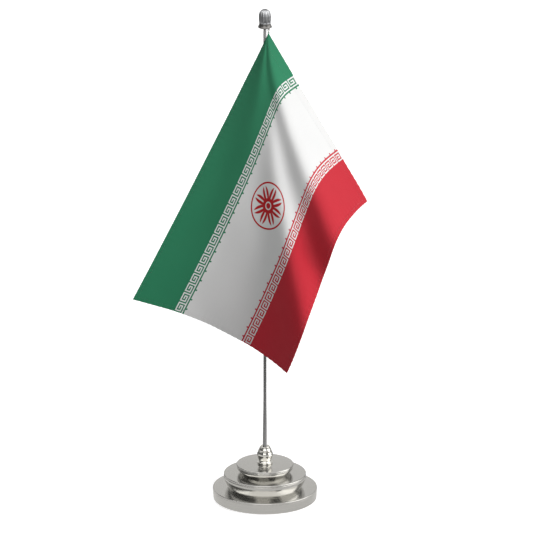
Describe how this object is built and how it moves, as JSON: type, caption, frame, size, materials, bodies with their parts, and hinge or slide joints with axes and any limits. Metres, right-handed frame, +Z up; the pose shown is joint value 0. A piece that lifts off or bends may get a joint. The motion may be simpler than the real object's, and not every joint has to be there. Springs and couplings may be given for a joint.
{
  "type": "desk flag stand",
  "caption": "Desk flag stand with a three-tier round metal base, a slim pole under a fluted finial, and a small striped flag hung by one corner.",
  "frame": {"origin": "centre of the flat underside of the foot pad, on the pole's axis, where the stand meets the desk", "axes": "+Z up along the pole, -Y to the front where the flag faces, +X to the right of the front"},
  "size_m": [0.1795, 0.0983, 0.396],
  "materials": {
    "felt": "matt pressed felt",
    "satin_nickel": "satin nickel plate, turned with fine circular brushing",
    "zinc_steel": "bright zinc plated",
    "polished_chrome": "mirror polished",
    "black_rubber": "matt",
    "rod_chrome": "drawn rod, chrome plated",
    "nylon": "natural nylon",
    "finial_metal": "satin chrome plate",
    "wire": "bright wire",
    "tape": "woven polyester tape",
    "printed_satin": "polyester satin printed with green, white and red stripes"
  },
  "bodies": {
    "base": {"foot_pad": "felt", "bottom_tier": "satin_nickel", "middle_tier": "satin_nickel", "top_tier": "satin_nickel", "flat_washer": "zinc_steel", "lock_washer": "zinc_steel", "clamp_nut": "zinc_steel", "socket": "polished_chrome", "grip_ring": "black_rubber"},
    "pole": {"pole": "rod_chrome", "swivel_washer": "nylon"},
    "collar": {"hanger_collar": "finial_metal"},
    "finial": {"finial": "finial_metal"},
    "ring": {"hanging_ring": "wire"},
    "flag": {"corner_loop": "tape", "flag_cloth": "printed_satin"}
  },
  "joints": [
    {"name": "pole_lift", "type": "slide", "parent": "base", "child": "pole", "axis": [0, 0, 1], "range_m": [0, 0.03]},
    {"name": "collar_swivel", "type": "hinge", "parent": "pole", "child": "collar", "pos_m": [0, 0, 0.383], "axis": [0, 0, 1], "continuous": true},
    {"name": "finial_turn", "type": "hinge", "parent": "pole", "child": "finial", "pos_m": [0, 0, 0.39], "axis": [0, 0, 1], "continuous": true},
    {"name": "ring_turn", "type": "hinge", "parent": "collar", "child": "ring", "pos_m": [0.0028, -0.0038, 0.3794], "axis": [-1, 0, 0], "range_deg": [0, 30]},
    {"name": "flag_swing", "type": "hinge", "parent": "ring", "child": "flag", "pos_m": [0.0028, -0.0038, 0.37815], "axis": [0, 1, 0], "range_deg": [-20, 20]}
  ]
}
